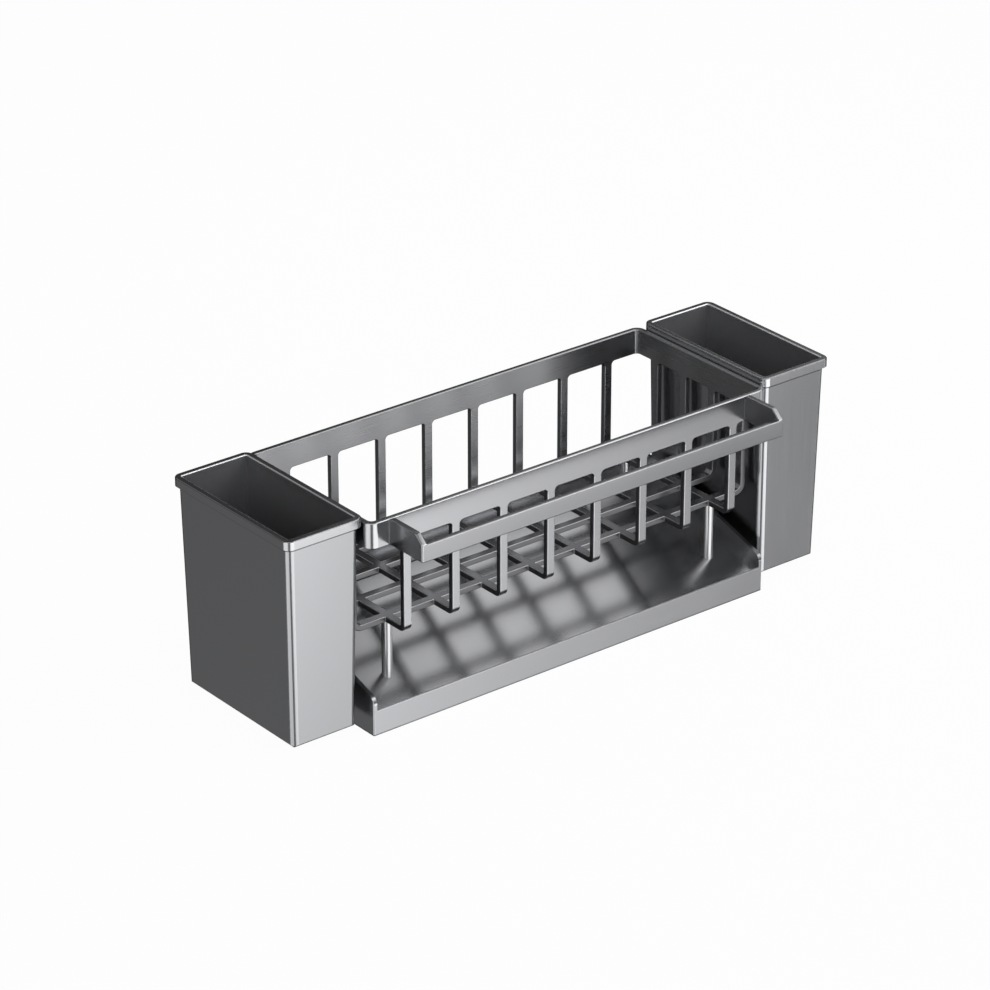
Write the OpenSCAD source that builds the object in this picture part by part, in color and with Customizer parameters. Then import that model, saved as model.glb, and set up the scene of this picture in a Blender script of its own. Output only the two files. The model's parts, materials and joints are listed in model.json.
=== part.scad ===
// Kitchen sink caddy: a lift-out slatted basket with a towel rail, standing on
// four rod legs in a sloping drip tray, with a tapered cup hung on each end.
// Millimetres, +Z up. The origin is on the counter, at the middle of the whole footprint.

/* [Basket] */
// Length of the basket over its end bands, along X
basket_length = 284; // [260:1:340]
// Depth of the basket over its front and back bands, along Y
basket_depth = 114; // [100:1:150]
// Height of the top edge of the band above the counter
band_top = 128.4; // [110:0.1:160]
// Height of the band itself
band_height = 15.6; // [12:0.1:20]
// Thickness of the plate that the basket is cut from
plate = 3.5; // [2.5:0.1:4]
// Outer radius of the band's upright corners
band_corner = 6; // [5:0.5:12]
// Rounding along the band's top edges
band_round = 0.9; // [0.4:0.1:1.2]
// Height of the top of the floor grid above the counter
grid_top = 59.5; // [54:0.5:64]

/* [Slats] */
// Width of each slat and grid bar
slat_width = 5.4; // [4:0.1:8]
// Number of front slats, and of back slats
slat_count = 8; // [4:1:10]
// From the end of the basket to the middle of the outermost front slat, along X
slat_inset = 25.45; // [15:0.05:40]
// Number of slats at each end
end_count = 4; // [2:1:6]
// From the front of the basket to the middle of the outermost end slat, along Y
end_inset = 19.5; // [12:0.1:30]
// Outer radius where a front or back slat bends into the floor
slat_bend = 4.5; // [4:0.1:8]
// Outer radius where an end slat bends into the floor
end_bend = 7; // [5:0.1:9]
// Radius of the fillets where a slat meets the band
slat_fillet = 2.4; // [1:0.1:4]

/* [Towel rail] */
// How far each arm of the rail stands in from the end of the basket
rail_inset = 13.4; // [12:0.1:40]
// Clear gap for a cloth between the rail and the band
rail_gap = 25.4; // [15:0.1:40]
// Height of the front strip of the rail
rail_height = 10.2; // [8:0.1:12]
// Thickness of the rail's strip
rail_plate = 3.5; // [2.5:0.1:4]
// Length of the slanting cut at the front of each arm, along Y
rail_chamfer = 6.4; // [4:0.1:10]
// Outer radius of the rail's two front bends
rail_bend = 1; // [0.5:0.1:2]

/* [Legs] */
// Diameter of the four round rods
leg_diameter = 6; // [4:0.5:8]
// Rounding round the upper end of a rod where it meets the grid
leg_round = 0.4; // [0.2:0.1:1]

/* [Drip tray] */
// How far each end of the tray stands in from the end of the basket
tray_inset = 0.9; // [0.5:0.1:6]
// How far the tray's front and back stand out from the basket's
tray_proud = 0.6; // [0:0.1:6]
// Thickness of the tray's sheet
tray_sheet = 2.4; // [1:0.1:3]
// Height of the front apron
apron_height = 15.4; // [12:0.1:20]
// Slope of the front part of the tray's floor, in degrees
floor_slope = 18.5; // [14:0.5:22]
// Height of the tray's floor where it runs level at the back
floor_back = 44; // [36:0.5:46]
// Height at which the end wall's slanting top edge would meet the front
wall_front = 22.8; // [20:0.1:26]
// Slope of the end wall's top edge, in degrees
wall_slope = 17; // [15:0.5:20]
// Clear height between the back wall and the grid above it
wall_clear = 6; // [3:0.5:8]
// Radius of the end walls' top front corners
wall_corner = 6; // [2:0.1:8]
// Rounding along the tray's bends and edges
tray_round = 0.9; // [0.3:0.1:1]

/* [Cups] */
// Width of a cup's body at its mouth, along X
cup_width = 47.2; // [40:0.1:70]
// Depth of a cup's body at its mouth, along Y
cup_depth = 102.8; // [80:0.1:112]
// Height of a cup's bottom above the counter
cup_bottom = 5.2; // [3:0.1:12]
// How far the cups' mouths stand above the band
cup_rise = 3.7; // [2.5:0.1:6]
// How much each wall of a cup leans in from mouth to bottom
cup_taper = 2.1; // [0:0.1:6]
// Outer radius of the upright corners of a cup's body
cup_corner = 4.1; // [2:0.1:4.2]
// Inner radius of the corners of a cup's mouth
mouth_corner = 1.1; // [0.2:0.1:4]
// Thickness of a cup's wall
cup_wall = 1.8; // [1:0.1:2]
// Thickness of a cup's floor
cup_floor = 2; // [1:0.1:3]
// How far the folded hem stands out from the cup's body
hem_out = 2; // [2:0.1:3]
// Height of the folded hem
hem_height = 5.3; // [4.5:0.1:6]
// Thickness of the hem's outer lip
hem_lip = 0.8; // [0.6:0.1:0.8]
// Thickness of the metal over the hem's channel
hem_cap = 1.4; // [1:0.1:1.8]
// Rounding along the top of the hem
hem_round = 0.8; // [0.3:0.1:0.8]
// Size of the slanting cut along a cup's lower edges
foot_cut = 1.4; // [0.4:0.1:1.8]
// Clearance between a cup's hem and the end of the basket
cup_gap = 0.3; // [0.2:0.1:1]

/* [Hangers] */
// Length of a hanger strip, along Y
hanger_length = 70; // [40:1:90]
// Thickness of a hanger strip
hanger_sheet = 0.6; // [0.4:0.1:0.6]
// Height of the foot that is welded to the end band
hanger_foot = 9; // [5:0.5:10]
// Clearance between a hanger and the hem's lip, sideways and below
hanger_gap = 0.3; // [0.2:0.1:0.4]

/* [Hidden] */
$fn = 48;

// A cut that has to pass a face runs past it by this much
past = 1;
// A round corner's face stands past its flat walls by this much before it is cut back to them
corner_skim = 0.01;

// Basket. The legs stand under the outermost crossings of its grid, at leg_x and leg_y.
half_x = basket_length / 2;
half_y = basket_depth / 2;
band_bottom = band_top - band_height;
grid_bottom = grid_top - plate;
leg_x = half_x - slat_inset;
leg_y = half_y - end_inset;
slat_xs = [for (i = [0 : slat_count - 1]) leg_x * (2 * i / (slat_count - 1) - 1)];
end_ys = [for (i = [0 : end_count - 1]) leg_y * (2 * i / (end_count - 1) - 1)];

// Towel rail
rail_length = basket_length - 2 * rail_inset;
rail_front = half_y + rail_gap + rail_plate;
rail_top = band_bottom + rail_height;

// Tray
tray_length = basket_length - 2 * tray_inset;
tray_depth = basket_depth + 2 * tray_proud;
tray_x = tray_length / 2;
tray_y = tray_depth / 2;
wall_back = grid_bottom - wall_clear;
level_start = (wall_back - wall_front) / tan(wall_slope) - tray_y;
floor_level = (floor_back - apron_height) / tan(floor_slope) - tray_y;
function floor_z(y) = min(floor_back, apron_height + (y + tray_y) * tan(floor_slope));

// Cups
rim_top = band_top + cup_rise;
hem_bottom = rim_top - hem_height;
cap_bottom = rim_top - hem_cap;
rim_inner_x = half_x + cup_gap;
cup_x = rim_inner_x + hem_out + cup_width / 2;
hem_axis_x = cup_width / 2 - cup_wall - mouth_corner;
hem_axis_y = cup_depth / 2 - cup_wall - mouth_corner;
hem_width = cup_wall + hem_out;
lean = cup_taper / (cap_bottom - cup_bottom);

// Hangers
hanger_x = rim_inner_x + hem_lip + hanger_gap;
hanger_knee = hem_bottom - hanger_gap;

// The basket's middle lies behind the middle of the footprint, because the rail stands out in front
mid_y = (rail_front - tray_y) / 2;

steel = [0.60, 0.61, 0.62];
dark_steel = [0.42, 0.43, 0.44];
bright_steel = [0.75, 0.76, 0.77];

// A rectangle from a corner, whose two upper corners are rounded
module round_top(w, h, r) {
    square([w, h - r]);
    translate([r, 0]) square([w - 2 * r, h]);
    translate([r, h - r]) circle(r);
    translate([w - r, h - r]) circle(r);
}

// Sweeps a flat outline round a rectangle with round corners.
// The outline's x is its distance from the corners' axes, which stand at +-ax, +-ay.
module sweep_round(ax, ay) {
    for (k = [0 : 3]) {
        sx = (k == 0 || k == 3) ? 1 : -1;
        sy = k < 2 ? 1 : -1;
        along = k % 2 == 0 ? ax : ay;
        translate([sx * ax, sy * ay, 0]) rotate([0, 0, 90 * k]) {
            rotate_extrude(angle = 90) children();
            rotate([90, 0, 0]) linear_extrude(2 * (ax + ay - along)) children();
        }
    }
}

// Lays a flat outline in the YZ plane and gives it a width along X, centred on x
module slab_x(x, w) {
    translate([x - w / 2, 0, 0]) rotate([90, 0, 90]) linear_extrude(w) children();
}

// Lays a flat outline in the XZ plane and gives it a width along Y, centred on y
module slab_y(y, w) {
    translate([0, y + w / 2, 0]) rotate([90, 0, 0]) linear_extrude(w) children();
}

// A rectangle between two heights, symmetric about the axis, with round lower corners
module round_bottom(half, bottom, top, r) {
    translate([-half, bottom + r]) square([2 * half, top - bottom - r]);
    translate([r - half, bottom]) square([2 * (half - r), r]);
    for (s = [-1, 1]) translate([s * (half - r), bottom + r]) circle(r);
}

// One strap: down one wall, across the floor and up the other wall
module strap_outline(half, r) {
    difference() {
        round_bottom(half, grid_bottom, band_bottom, r);
        round_bottom(half - plate, grid_top, band_bottom + past, r - plate);
    }
}

// The two small fillets where a slat's sides meet the band's lower edge
module slat_fillets() {
    for (s = [-1, 1]) translate([s * slat_width / 2, band_bottom]) difference() {
        translate([s > 0 ? 0 : -slat_fillet, -slat_fillet]) square(slat_fillet);
        translate([s * slat_fillet, -slat_fillet]) circle(slat_fillet);
    }
}

module band_ring() {
    sweep_round(half_x - band_corner, half_y - band_corner)
        translate([band_corner - plate, band_bottom]) round_top(plate, band_height, band_round);
}

module basket_cage() {
    color(steel) {
        band_ring();
        for (x = slat_xs) {
            slab_x(x, slat_width) strap_outline(half_y, slat_bend);
            for (s = [-1, 1]) translate([x, 0, 0]) slab_y(s * (half_y - plate / 2), plate) slat_fillets();
        }
        for (y = end_ys) {
            slab_y(y, slat_width) strap_outline(half_x, end_bend);
            for (s = [-1, 1]) translate([0, y, 0]) slab_x(s * (half_x - plate / 2), plate) slat_fillets();
        }
    }
}

// One arm seen from the side: full band height at the band, cut down slantwise to the rail
module arm_outline() {
    polygon([
        [-half_y, band_bottom], [-half_y, band_top],
        [rail_chamfer - rail_front, band_top], [-rail_front, rail_top],
        [-rail_front, band_bottom]
    ]);
}

module rail_plan() {
    difference() {
        translate([-rail_length / 2, -rail_front]) {
            translate([0, rail_bend]) square([rail_length, rail_front - half_y - rail_bend]);
            translate([rail_bend, 0]) square([rail_length - 2 * rail_bend, rail_bend]);
            for (x = [rail_bend, rail_length - rail_bend]) translate([x, rail_bend]) circle(rail_bend);
        }
        translate([rail_plate - rail_length / 2, -half_y - rail_gap])
            square([rail_length - 2 * rail_plate, rail_gap + past]);
    }
}

module towel_rail() {
    color(bright_steel) intersection() {
        translate([0, 0, band_bottom]) linear_extrude(band_height) rail_plan();
        union() {
            slab_x(0, rail_length) translate([-rail_front, band_bottom])
                square([rail_front - half_y, rail_height]);
            for (s = [-1, 1]) slab_x(s * (rail_length - rail_plate) / 2, rail_plate) arm_outline();
        }
    }
}

// A rod from the underside of the grid down to the tray's floor, cut to the floor's slope
module leg(x, y) {
    foot = floor_z(y);
    slope = y < floor_level ? floor_slope : 0;
    r = leg_diameter / 2;
    color(bright_steel) translate([x, y, foot]) difference() {
        translate([0, 0, -r]) rotate_extrude() {
            square([r, grid_bottom - foot + r - leg_round]);
            square([r - leg_round, grid_bottom - foot + r]);
            translate([r - leg_round, grid_bottom - foot + r - leg_round]) circle(leg_round);
        }
        rotate([slope, 0, 0]) translate([-2 * r, -2 * r, -4 * r]) cube(4 * r);
    }
}

// The end wall: up the front, round its corner, up the slant and level to the back wall's rounding
module end_wall_outline() {
    c = wall_corner;
    axis = [c - tray_y, wall_front + c * tan(wall_slope) - c / cos(wall_slope)];
    polygon([
        [-tray_y, 0], [-tray_y, axis[1]], axis + c * [-sin(wall_slope), cos(wall_slope)],
        [level_start, wall_back], [tray_y - tray_round, wall_back], [tray_y - tray_round, 0]
    ]);
    translate(axis) circle(c);
}

// Apron, sloping floor, level floor and back wall as one bent sheet, seen from the end
module pan_outline() {
    inner = tray_y - tray_sheet;
    sheet_z = tray_sheet / cos(floor_slope);
    under_level = floor_level + tray_sheet * tan(floor_slope / 2);
    bend = tray_round * tan(45 - floor_slope / 2);
    bend_y = bend * cos(floor_slope) - tray_y;
    difference() {
        union() {
            polygon([
                [-tray_y, 0], [-tray_y, apron_height - bend], [bend_y, floor_z(bend_y)],
                [floor_level, floor_back], [inner, floor_back], [inner, wall_back - tray_round],
                [tray_y, wall_back - tray_round], [tray_y, 0]
            ]);
            translate([tray_round - tray_y, apron_height - bend]) circle(tray_round);
            translate([inner, wall_back - tray_sheet]) round_top(tray_sheet, tray_sheet, tray_round);
        }
        polygon([
            [-inner, -past], [-inner, floor_z(-inner) - sheet_z],
            [under_level, floor_back - tray_sheet], [inner, floor_back - tray_sheet], [inner, -past]
        ]);
    }
}

// The tray from above, with its bends' round corners
module tray_plan() {
    square([tray_length - 2 * tray_round, tray_depth], center = true);
    square([tray_length, tray_depth - 2 * tray_round], center = true);
    for (x = [tray_round - tray_x, tray_x - tray_round], y = [tray_round - tray_y, tray_y - tray_round])
        translate([x, y]) circle(tray_round);
}

module drip_tray() {
    color(dark_steel) intersection() {
        union() {
            slab_x(0, tray_length) pan_outline();
            for (x = [tray_sheet / 2 - tray_x, tray_x - tray_sheet / 2])
                slab_x(x, tray_sheet) end_wall_outline();
        }
        linear_extrude(wall_back) tray_plan();
    }
}

// A bent strip: welded foot, a step out and an upstand that the hem's channel drops over
module hanger() {
    color(dark_steel) slab_y(0, hanger_length) polygon([
        [half_x, hanger_knee - hanger_foot],
        [half_x, hanger_knee],
        [hanger_x, hanger_knee],
        [hanger_x, cap_bottom],
        [hanger_x + hanger_sheet, cap_bottom],
        [hanger_x + hanger_sheet, hanger_knee - hanger_sheet],
        [half_x + hanger_sheet, hanger_knee - hanger_sheet],
        [half_x + hanger_sheet, hanger_knee - hanger_foot]
    ]);
}

// Half of a leaning block's width or depth at a height, from half of it under the hem's cap
function leaning(half, z) = half - (cap_bottom - z) * lean;

// A block up to the hem's cap, whose four sides lean in as they go down. Its lower edges are
// cut off slantwise.
module leaning_block(half_w, half_d, bottom, cut) {
    intersection() {
        slab_y(0, 2 * (half_d + past)) leaning_outline(half_w, bottom, cut);
        slab_x(0, 2 * (half_w + past)) leaning_outline(half_d, bottom, cut);
    }
}

module leaning_outline(half, bottom, cut) {
    foot = leaning(half, bottom) - cut;
    knee = leaning(half, bottom + cut);
    polygon([
        [-foot, bottom], [foot, bottom], [knee, bottom + cut],
        [half, cap_bottom], [-half, cap_bottom], [-knee, bottom + cut]
    ]);
}

// What lies outside a round upright corner of the body. It leans as the corner does.
module corner_waste() {
    tilt = atan(lean);
    drop = cap_bottom - cup_bottom + past;
    rotate([-atan(lean * cos(tilt)), tilt, 0]) translate([0, 0, -drop]) linear_extrude(drop + past)
        difference() {
            square(cup_corner + past);
            circle(cup_corner);
        }
}

module cup_body() {
    corner_x = cup_width / 2 - cup_corner + corner_skim;
    corner_y = cup_depth / 2 - cup_corner + corner_skim;
    difference() {
        leaning_block(cup_width / 2, cup_depth / 2, cup_bottom, foot_cut);
        for (mx = [0, 1], my = [0, 1]) mirror([mx, 0, 0]) mirror([0, my, 0])
            translate([corner_x, corner_y, cap_bottom]) corner_waste();
        leaning_block(cup_width / 2 - cup_wall, cup_depth / 2 - cup_wall, cup_bottom + cup_floor, 0);
    }
}

// The folded hem in section: its cap, with rounded edges, and its lip.
// x is the distance from the corner's axis.
module hem_section() {
    difference() {
        translate([mouth_corner, hem_bottom]) round_top(hem_width, hem_height, hem_round);
        translate([mouth_corner - past, hem_bottom - past])
            square([past + hem_width - hem_lip, past + hem_height - hem_cap]);
    }
}

module cup() {
    color(steel) {
        cup_body();
        sweep_round(hem_axis_x, hem_axis_y) hem_section();
    }
}

// Puts a piece given for the right-hand end on one end, or mirrors it to the other
module at_end(side) {
    translate([0, mid_y, 0]) mirror([side < 0 ? 1 : 0, 0, 0]) children();
}

translate([0, mid_y, 0]) drip_tray();
translate([0, mid_y, 0]) basket_cage();
translate([0, mid_y, 0]) towel_rail();
translate([0, mid_y, 0]) leg(-leg_x, -leg_y);  // leg_front_left
translate([0, mid_y, 0]) leg(leg_x, -leg_y);  // leg_front_right
translate([0, mid_y, 0]) leg(-leg_x, leg_y);  // leg_rear_left
translate([0, mid_y, 0]) leg(leg_x, leg_y);  // leg_rear_right
at_end(-1) hanger();  // hanger_left
at_end(1) hanger();  // hanger_right
at_end(-1) translate([cup_x, 0, 0]) cup();  // cup_left
at_end(1) translate([cup_x, 0, 0]) cup();  // cup_right
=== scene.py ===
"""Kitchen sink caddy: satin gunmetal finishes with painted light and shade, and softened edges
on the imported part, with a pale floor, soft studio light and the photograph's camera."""

import json
from math import radians

import bmesh
import bpy
from mathutils import Matrix, Vector

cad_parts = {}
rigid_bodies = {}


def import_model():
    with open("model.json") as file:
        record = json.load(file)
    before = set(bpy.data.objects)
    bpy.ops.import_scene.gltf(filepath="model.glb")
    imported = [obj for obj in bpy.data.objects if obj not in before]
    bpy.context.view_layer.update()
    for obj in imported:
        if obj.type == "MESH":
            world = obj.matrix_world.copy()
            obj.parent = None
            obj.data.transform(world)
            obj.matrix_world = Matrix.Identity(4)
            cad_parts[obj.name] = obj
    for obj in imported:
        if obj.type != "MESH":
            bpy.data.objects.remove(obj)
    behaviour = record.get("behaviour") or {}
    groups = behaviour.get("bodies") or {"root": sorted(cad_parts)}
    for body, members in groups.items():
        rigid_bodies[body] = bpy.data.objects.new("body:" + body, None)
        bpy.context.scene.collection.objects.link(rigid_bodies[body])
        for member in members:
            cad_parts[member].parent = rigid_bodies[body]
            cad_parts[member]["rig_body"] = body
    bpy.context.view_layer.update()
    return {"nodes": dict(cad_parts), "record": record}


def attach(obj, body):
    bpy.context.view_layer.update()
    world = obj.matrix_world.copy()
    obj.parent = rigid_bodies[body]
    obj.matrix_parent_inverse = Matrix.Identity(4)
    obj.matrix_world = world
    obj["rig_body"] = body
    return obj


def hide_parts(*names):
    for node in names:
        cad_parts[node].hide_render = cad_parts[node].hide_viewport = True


MM = 0.001

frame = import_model()


# Shader expressions
class Socket:
    """A shader output. Arithmetic on it adds the Math nodes."""

    def __init__(self, nodes, output):
        self.nodes = nodes
        self.output = output

    def __add__(self, other):
        return self.nodes.math("ADD", self, other)

    __radd__ = __add__

    def __sub__(self, other):
        return self.nodes.math("SUBTRACT", self, other)

    def __rsub__(self, other):
        return self.nodes.math("SUBTRACT", other, self)

    def __mul__(self, other):
        return self.nodes.math("MULTIPLY", self, other)

    __rmul__ = __mul__

    def __abs__(self):
        return self.nodes.math("ABSOLUTE", self)

    def rise(self, low, high):
        """0 below low, 1 above high, and smooth between them."""
        return self.nodes.node(
            "ShaderNodeMapRange",
            {"interpolation_type": "SMOOTHSTEP"},
            {"Value": self, "From Min": low, "From Max": high},
        )

    def fall(self, low, high):
        """1 below low, 0 above high, and smooth between them."""
        return 1.0 - self.rise(low, high)

    def between(self, start, full, fading, gone):
        """0 outside start and gone, 1 from full to fading, and smooth in the gaps."""
        return self.rise(start, full) * self.fall(fading, gone)


class Nodes:
    """Adds nodes to a material's or the world's tree."""

    def __init__(self, owner):
        self.owner = owner
        owner.use_nodes = True
        self.tree = owner.node_tree
        self.tree.nodes.clear()

    def node(self, kind, settings=None, inputs=None, output=0):
        """One output of a new node, with its settings and its inputs' values or links."""
        made = self.tree.nodes.new(kind)
        for name, value in (settings or {}).items():
            setattr(made, name, value)
        for name, value in (inputs or {}).items():
            if isinstance(value, Socket):
                self.tree.links.new(value.output, made.inputs[name])
            else:
                made.inputs[name].default_value = value
        return Socket(self, made.outputs[output])

    def math(self, operation, *terms):
        return self.node("ShaderNodeMath", {"operation": operation}, dict(enumerate(terms)))

    def xyz(self, vector):
        """A vector's three parts."""
        split = self.node("ShaderNodeSeparateXYZ", inputs={"Vector": vector})
        outputs = split.output.node.outputs
        return [Socket(self, outputs[axis]) for axis in ("X", "Y", "Z")]

    def vector_math(self, operation, inputs):
        return self.node("ShaderNodeVectorMath", {"operation": operation}, inputs)

    def noise(self, vector, scale, detail=2.0):
        """Noise of about 0 to 1 whose scale differs along the three axes, per metre."""
        stretched = self.vector_math("MULTIPLY", {0: vector, 1: scale})
        inputs = {"Vector": stretched, "Scale": 1.0, "Detail": detail}
        return self.node("ShaderNodeTexNoise", inputs=inputs)

    def blend(self, factor, a, b):
        """A value that goes from a to b as the factor goes from 0 to 1."""
        return a + factor * (b - a)

    def tint(self, factor, dark, light):
        """A colour between two."""
        return self.node(
            "ShaderNodeMix",
            {"data_type": "RGBA", "clamp_factor": True},
            {0: factor, 6: (*dark, 1), 7: (*light, 1)},
            output=2,
        )

    def end(self, shader, kind="ShaderNodeOutputMaterial"):
        """Links the last shader to the output and gives back the material or the world."""
        out = self.tree.nodes.new(kind)
        self.tree.links.new(shader.output, out.inputs["Surface"])
        return self.owner


# Places on the pieces
def box_of(node):
    """The middle and the half size of a piece's box."""
    piece = frame["nodes"][node]
    corners = [piece.matrix_world @ Vector(corner) for corner in piece.bound_box]
    middle = sum(corners, Vector()) / len(corners)
    right_back_top = corners[6]
    return middle, right_back_top - middle


BASKET_PLATE = 3.5 * MM
TRAY_SHEET = 2.4 * MM
HEM_HEIGHT = 5.3 * MM

CUP_MIDDLE, cup_half = box_of("cup_right")
CUP_FOOT = CUP_MIDDLE.z - cup_half.z
HEM_FOOT = CUP_MIDDLE.z + cup_half.z - HEM_HEIGHT

BASKET_MIDDLE, basket_half = box_of("basket_cage")
GRID_FOOT = BASKET_MIDDLE.z - basket_half.z
BASKET_INSIDE = [size - BASKET_PLATE for size in basket_half]

TRAY_END = box_of("drip_tray")[1].x


# The part of a surface's normal along an axis at which a mask starts, and is full.
# SLANTING goes on with where it fades, and is gone.
MOSTLY = (0.6, 0.8)
SQUARELY = (0.9, 0.98)
SLANTING = (0.1, 0.3, *SQUARELY)

# Roughness inside the cups and along the edges of the tray's end walls
MATT = 0.5


# Finishes. A parts function gives the share of the colour that each place on a piece keeps,
# which paints light and shade on it, and its roughness there.
def plain(n, place, facing, roughness):
    """One finish all over."""
    return 1.0, roughness


def cup_parts(n, place, facing, roughness):
    """A rougher inside, with painted highlights on its slanting edges and painted shade on its
    walls.
    Outside, painted shade on the slanting edges and on the side toward the basket, and painted
    shadow lines round the bottom, under the hem and down the right corners."""
    x, y, z = n.xyz(place)
    side = n.math("SIGN", x)
    outward = facing[0] * (x - side * CUP_MIDDLE.x) + facing[1] * (y - CUP_MIDDLE.y)
    inner = outward.fall(-4 * MM, 0.0)
    outer = 1.0 - inner
    edge = facing[2].between(*SLANTING)
    # Painted shadow lines under the hem, round the bottom and down the corners that turn to the
    # right
    hem_shadow = z.between(
        HEM_FOOT - 2.2 * MM, HEM_FOOT - 1.7 * MM, HEM_FOOT - 0.2 * MM, HEM_FOOT
    )
    foot_shadow = z.fall(CUP_FOOT + 0.9 * MM, CUP_FOOT + 1.3 * MM)
    corner_shade = facing[0].between(*SLANTING)
    # Painted shade on the outer side toward the basket
    inboard_shade = (-1 * side * facing[0]).rise(*SQUARELY)
    lines = (1.0 - 0.75 * foot_shadow) * (1.0 - 0.65 * corner_shade) * (1.0 - 0.65 * hem_shadow)
    dark = lines * (1.0 - 0.25 * inboard_shade)
    # Painted highlight on the inside's slanting edges, painted shade on its walls and on the
    # outside's slanting edges
    painted_light = 1.0 + inner * (1.1 * edge - 0.2) - 0.4 * outer * edge
    return painted_light * n.blend(outer, 1.0, dark), n.blend(inner, roughness, MATT)


def basket_parts(n, place, facing, roughness):
    """Painted shade on the cut sides of the slats and bars and on the inside, which are also
    rougher, a painted highlight on the grid's edges and painted shade on its flat tops.
    """
    x, y, z = n.xyz(place)
    y = y - BASKET_MIDDLE.y
    within_x = abs(x).fall(BASKET_INSIDE[0] - MM, BASKET_INSIDE[0])
    within_y = abs(y).fall(BASKET_INSIDE[1] - MM, BASKET_INSIDE[1])
    # Painted shade on the cut sides of the slats and bars, which are also rougher
    beside = n.math(
        "MAXIMUM",
        abs(facing[0]).rise(*MOSTLY) * within_x,
        abs(facing[1]).rise(*MOSTLY) * within_y,
    )
    # Painted shade on the inside faces
    inner = (facing[0] * x + facing[1] * y).fall(-30 * MM, 0.0) * (1.0 - beside)
    grid = z.fall(GRID_FOOT + 6 * MM, GRID_FOOT + 8 * MM)
    flat = facing[2].rise(0.85, 0.95)
    # Painted highlight on the grid's slanting edges, painted shade on its flat tops
    lip = grid * facing[2].rise(0.2, 0.4) * (1.0 - flat)
    share = (1.0 - 0.65 * beside - 0.4 * inner) * (1.0 + 0.9 * lip - 0.3 * grid * flat)
    return share, roughness + 0.13 * beside + 0.06 * inner + 0.2 * lip


def rail_parts(n, place, facing, roughness):
    """Painted shade on the insides of the two arms, which are also rougher."""
    x = n.xyz(place)[0]
    # Painted shade on the inner faces of the arms
    inner = (-1 * facing[0] * n.math("SIGN", x)).rise(*MOSTLY)
    return 1.0 - 0.5 * inner, roughness + 0.1 * inner


def tray_parts(n, place, facing, roughness):
    """Painted highlights on the rounded edges and painted shade on the flat top of the two end
    walls, whose edges are also rougher, and painted shade along the apron's rounded edges and
    along the bottom.
    """
    x, _, z = n.xyz(place)
    wall_inside = TRAY_END - TRAY_SHEET
    wall_top = abs(x).rise(wall_inside - 0.2 * MM, wall_inside) * facing[2].rise(0.1, 0.3)
    turned = abs(facing[0]).rise(0.15, 0.35)
    # Painted shade along the apron's rounded edges
    front_edge = (-1 * facing[1]).between(0.36, 0.5, 0.93, 0.99)
    apron_edge_shade = front_edge * (1.0 - turned) * (1.0 - wall_top)
    # Painted shade line along the bottom
    foot_shadow = z.fall(0.5 * MM, 0.9 * MM)
    # Painted highlight on the end walls' rounded top edges, painted shade on their flat top
    painted_light = 1.0 + wall_top * (1.4 * turned - 0.5)
    share = painted_light * (1.0 - 0.7 * apron_edge_shade) * (1.0 - 0.6 * foot_shadow)
    return share, n.blend(wall_top * turned, roughness, MATT)


def brushed_steel(name, colour, roughness, upright=False, parts=plain):
    """Satin gunmetal, with painted shade on the faces that point down. The brushing runs round a
    piece, or up an upright one.
    """
    n = Nodes(bpy.data.materials.new(name))
    place = n.node("ShaderNodeTexCoord", output="Object")
    facing = n.xyz(n.node("ShaderNodeTexCoord", output="Normal"))

    def marks(across, along):
        """Brush marks, so many per metre across the brushing and along it."""
        if upright:
            return n.noise(place, (across, across, along))
        lengthwise = n.noise(place, (along, across, across))
        crosswise = n.noise(place, (across, along, across))
        return n.blend(abs(facing[0]).rise(*MOSTLY), lengthwise, crosswise)

    streak = 0.62 * marks(2600, 22) + 0.38 * marks(620, 9)
    cloud = n.noise(place, (14, 14, 14), detail=3.0)
    shade = (streak - 0.5) * 0.55 + (cloud - 0.5) * 0.35 + 0.5
    darkest = [0.94 * c for c in colour]
    lightest = [1.06 * c for c in colour]
    share, roughness = parts(n, place, facing, roughness)
    # Painted shade on the faces that point down
    underside_shade = (-1 * facing[2]).rise(0.15, 0.5)
    share = share * (1.0 - 0.75 * underside_shade)
    tone = n.vector_math("SCALE", {0: n.tint(shade, darkest, lightest), "Scale": share})
    bump = n.node(
        "ShaderNodeBump",
        inputs={"Strength": 0.01, "Distance": 0.25 * MM, "Height": streak},
    )
    shader = n.node(
        "ShaderNodeBsdfPrincipled",
        inputs={
            "Base Color": tone,
            "Metallic": 1.0,
            "Roughness": roughness + (streak - 0.5) * 0.05 + (cloud - 0.5) * 0.03,
            "Normal": bump,
        },
    )
    return n.end(shader)


STEEL = (0.5, 0.505, 0.52)
RAIL_STEEL = [0.86 * c for c in STEEL]
ROD_STEEL = (0.56, 0.565, 0.57)
FINISHES = {
    "tray_steel": brushed_steel("tray_satin_steel", STEEL, 0.23, parts=tray_parts),
    "basket_steel": brushed_steel("basket_satin_steel", STEEL, 0.22, parts=basket_parts),
    "rail_steel": brushed_steel("rail_satin_steel", RAIL_STEEL, 0.22, parts=rail_parts),
    "rod_steel": brushed_steel("rod_polished_steel", ROD_STEEL, 0.28, upright=True),
    "hanger_steel": brushed_steel("hanger_satin_steel", STEEL, 0.32),
    "cup_steel": brushed_steel("cup_satin_steel", STEEL, 0.22, upright=True, parts=cup_parts),
}


# Softened edges, by material
EDGES = {
    "tray_steel": 0.5 * MM,
    "basket_steel": 0.55 * MM,
    "rail_steel": 0.6 * MM,
    "rod_steel": 0.25 * MM,
    "hanger_steel": 0.12 * MM,
    "cup_steel": 0.3 * MM,
}
EDGE_SEGMENTS = 3
WELD = 0.002 * MM
FLAT_WITHIN = radians(0.4)
SHARP_OVER = radians(14)


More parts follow.
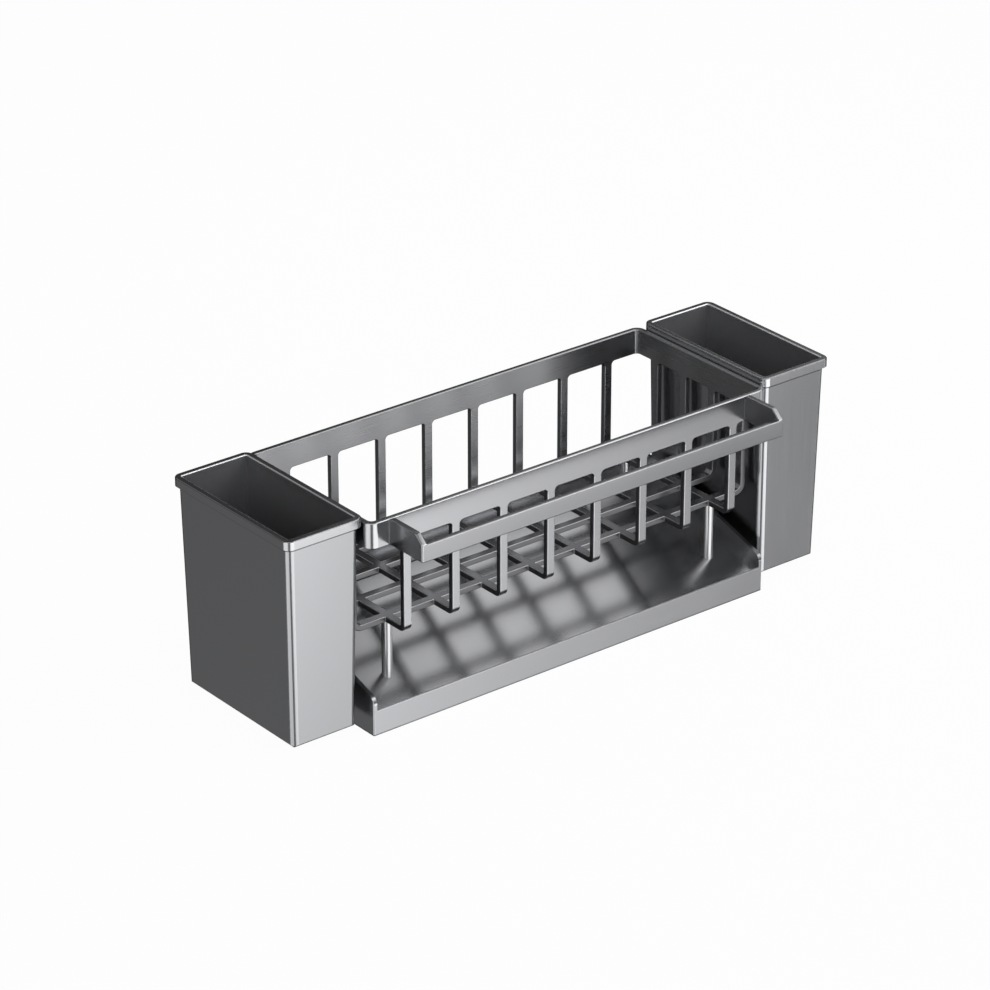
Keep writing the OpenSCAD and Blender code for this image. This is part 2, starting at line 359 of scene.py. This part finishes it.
def softened(node, slot):
    """A copy of a CAD piece whose sharp edges are rounded. It stands for that piece."""
    source = frame["nodes"][node]
    form = bmesh.new()
    form.from_mesh(source.data)
    bmesh.ops.remove_doubles(form, verts=form.verts, dist=WELD)
    bmesh.ops.dissolve_limit(
        form,
        angle_limit=FLAT_WITHIN,
        use_dissolve_boundaries=False,
        verts=form.verts,
        edges=form.edges,
        delimit=set(),
    )
    joined = [edge for edge in form.edges if len(edge.link_faces) == 2]
    bmesh.ops.bevel(
        form,
        geom=[edge for edge in joined if edge.calc_face_angle(0.0) > SHARP_OVER],
        offset=EDGES[slot],
        offset_type="OFFSET",
        affect="EDGES",
        segments=EDGE_SEGMENTS,
        profile=0.5,
        material=-1,
        clamp_overlap=True,
    )
    mesh = bpy.data.meshes.new(node + "_dressed")
    form.to_mesh(mesh)
    form.free()
    piece = bpy.data.objects.new(node + "_dressed", mesh)
    bpy.context.scene.collection.objects.link(piece)
    mesh.polygons.foreach_set("use_smooth", [True] * len(mesh.polygons))
    mesh.materials.append(FINISHES[slot])
    weighted = piece.modifiers.new("even shading", "WEIGHTED_NORMAL")
    weighted.keep_sharp = True
    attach(piece, source["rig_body"])
    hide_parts(node)


for part in frame["record"]["subparts"]:
    softened(part["node"], part["material_slot"])


# Floor and light
WHITE = (1, 1, 1, 1)
PALE_GREY = (0.86, 0.86, 0.86, 1)
FLOOR_REACH = 6.0
FLOOR_WHITENESS = 0.97


def pale_floor():
    """A matt floor, nearly white to the camera. The metal's reflections look through it."""
    form = bmesh.new()
    bmesh.ops.create_grid(form, x_segments=1, y_segments=1, size=FLOOR_REACH)
    mesh = bpy.data.meshes.new("floor")
    form.to_mesh(mesh)
    form.free()
    floor = bpy.data.objects.new("floor", mesh)
    bpy.context.scene.collection.objects.link(floor)
    n = Nodes(bpy.data.materials.new("pale_floor"))
    whiteness = FLOOR_WHITENESS * n.node("ShaderNodeLightPath", output="Is Camera Ray")
    glossy = n.node("ShaderNodeLightPath", output="Is Glossy Ray")
    matt = n.node("ShaderNodeBsdfDiffuse", inputs={"Color": PALE_GREY})
    white = n.node("ShaderNodeEmission", inputs={"Color": WHITE, "Strength": 1.0})
    clear = n.node("ShaderNodeBsdfTransparent")
    for_camera = n.node("ShaderNodeMixShader", inputs={0: whiteness, 1: matt, 2: white})
    shader = n.node("ShaderNodeMixShader", inputs={0: glossy, 1: for_camera, 2: clear})
    mesh.materials.append(n.end(shader))


def studio_world():
    """White to the camera. To the object it is dim, with three bright boxes low down at the
    front and sides, and softer light high up in front and at the left."""
    world = bpy.data.worlds.new("studio")
    bpy.context.scene.world = world
    n = Nodes(world)
    x, y, z = n.xyz(n.node("ShaderNodeTexCoord", output="Generated"))
    left, front = -1 * x, -1 * y
    round_about = n.math("ARCTAN2", x, front)

    def box(start, end, fade=0.16):
        """1 between two directions round the object, in radians from the front to the right."""
        return round_about.between(start - 0.08, start + 0.08, end - fade / 2, end + fade / 2)

    front_box = 3.2 * box(-0.36, 0.66, fade=0.1)
    left_box = 2.2 * box(-1.87, -0.88)
    right_box = 1.15 * box(0.92, 1.45)
    boxes = (front_box + left_box + right_box) * z.between(-0.7, -0.3, -0.12, 0.02)
    behind = y.rise(0.74, 0.88)
    dim = (0.02 + 0.2 * z.between(-0.75, -0.58, -0.3, -0.05)) * (1.0 - 0.8 * behind)
    high_front = 1.5 * z.between(0.08, 0.3, 0.7, 0.79) * front.rise(-0.05, 0.2)
    high_left = 0.6 * z.between(0.2, 0.4, 0.6, 0.75) * left.rise(0.1, 0.3)
    above = 0.05 * z.rise(0.1, 0.3)
    level = dim + boxes + high_front + high_left + above
    studio = n.node("ShaderNodeBackground", inputs={"Strength": level})
    white = n.node("ShaderNodeBackground", inputs={"Color": WHITE, "Strength": 1.0})
    camera = n.node("ShaderNodeLightPath", output="Is Camera Ray")
    seen = n.node("ShaderNodeMixShader", inputs={0: camera, 1: studio, 2: white})
    n.end(seen, "ShaderNodeOutputWorld")


def softbox(name, place, aim, width, height, power):
    """A rectangular light that faces a point."""
    lamp = bpy.data.lights.new(name, "AREA")
    lamp.shape = "RECTANGLE"
    lamp.size = width
    lamp.size_y = height
    lamp.energy = power
    stand = bpy.data.objects.new(name, lamp)
    bpy.context.scene.collection.objects.link(stand)
    stand.location = place
    stand.rotation_euler = (Vector(aim) - Vector(place)).to_track_quat("-Z", "Y").to_euler()


pale_floor()
studio_world()
softbox(
    "front_softbox",
    place=(0.75, -1.0, 1.15),
    aim=(0, 0, 0.06),
    width=0.9,
    height=0.7,
    power=4,
)
softbox(
    "overhead_softbox",
    place=(0.48, 0.175, 0.52),
    aim=(0.48, 0.175, 0),
    width=0.58,
    height=0.55,
    power=0.9,
)


# Camera, solved from the straight edges in the photograph. Angles are in degrees.
CAMERA_PLACE = (-1.38287, -1.70988, 1.15262)
CAMERA_HEADING = -38.52
CAMERA_DIP = 25.85
CAMERA_ROLL = 0.01
SENSOR_WIDTH = 36
LENS = 158.05
SHIFT_X = -0.0007
SHIFT_Y = 0.0004


def photo_camera():
    """The camera at the photograph's place and angle, with its lens."""
    camera = bpy.data.cameras.new("photo_camera")
    camera.sensor_width = SENSOR_WIDTH
    camera.lens = LENS
    camera.shift_x = SHIFT_X
    camera.shift_y = SHIFT_Y
    camera.clip_start = 0.1
    camera.clip_end = 20
    stand = bpy.data.objects.new("photo_camera", camera)
    bpy.context.scene.collection.objects.link(stand)
    heading = Matrix.Rotation(radians(CAMERA_HEADING), 4, "Z")
    dip = Matrix.Rotation(radians(90 - CAMERA_DIP), 4, "X")
    roll = Matrix.Rotation(radians(CAMERA_ROLL), 4, "Z")
    stand.matrix_world = Matrix.Translation(CAMERA_PLACE) @ heading @ dip @ roll
    bpy.context.scene.camera = stand


photo_camera()
bpy.context.scene.view_settings.view_transform = "Standard"
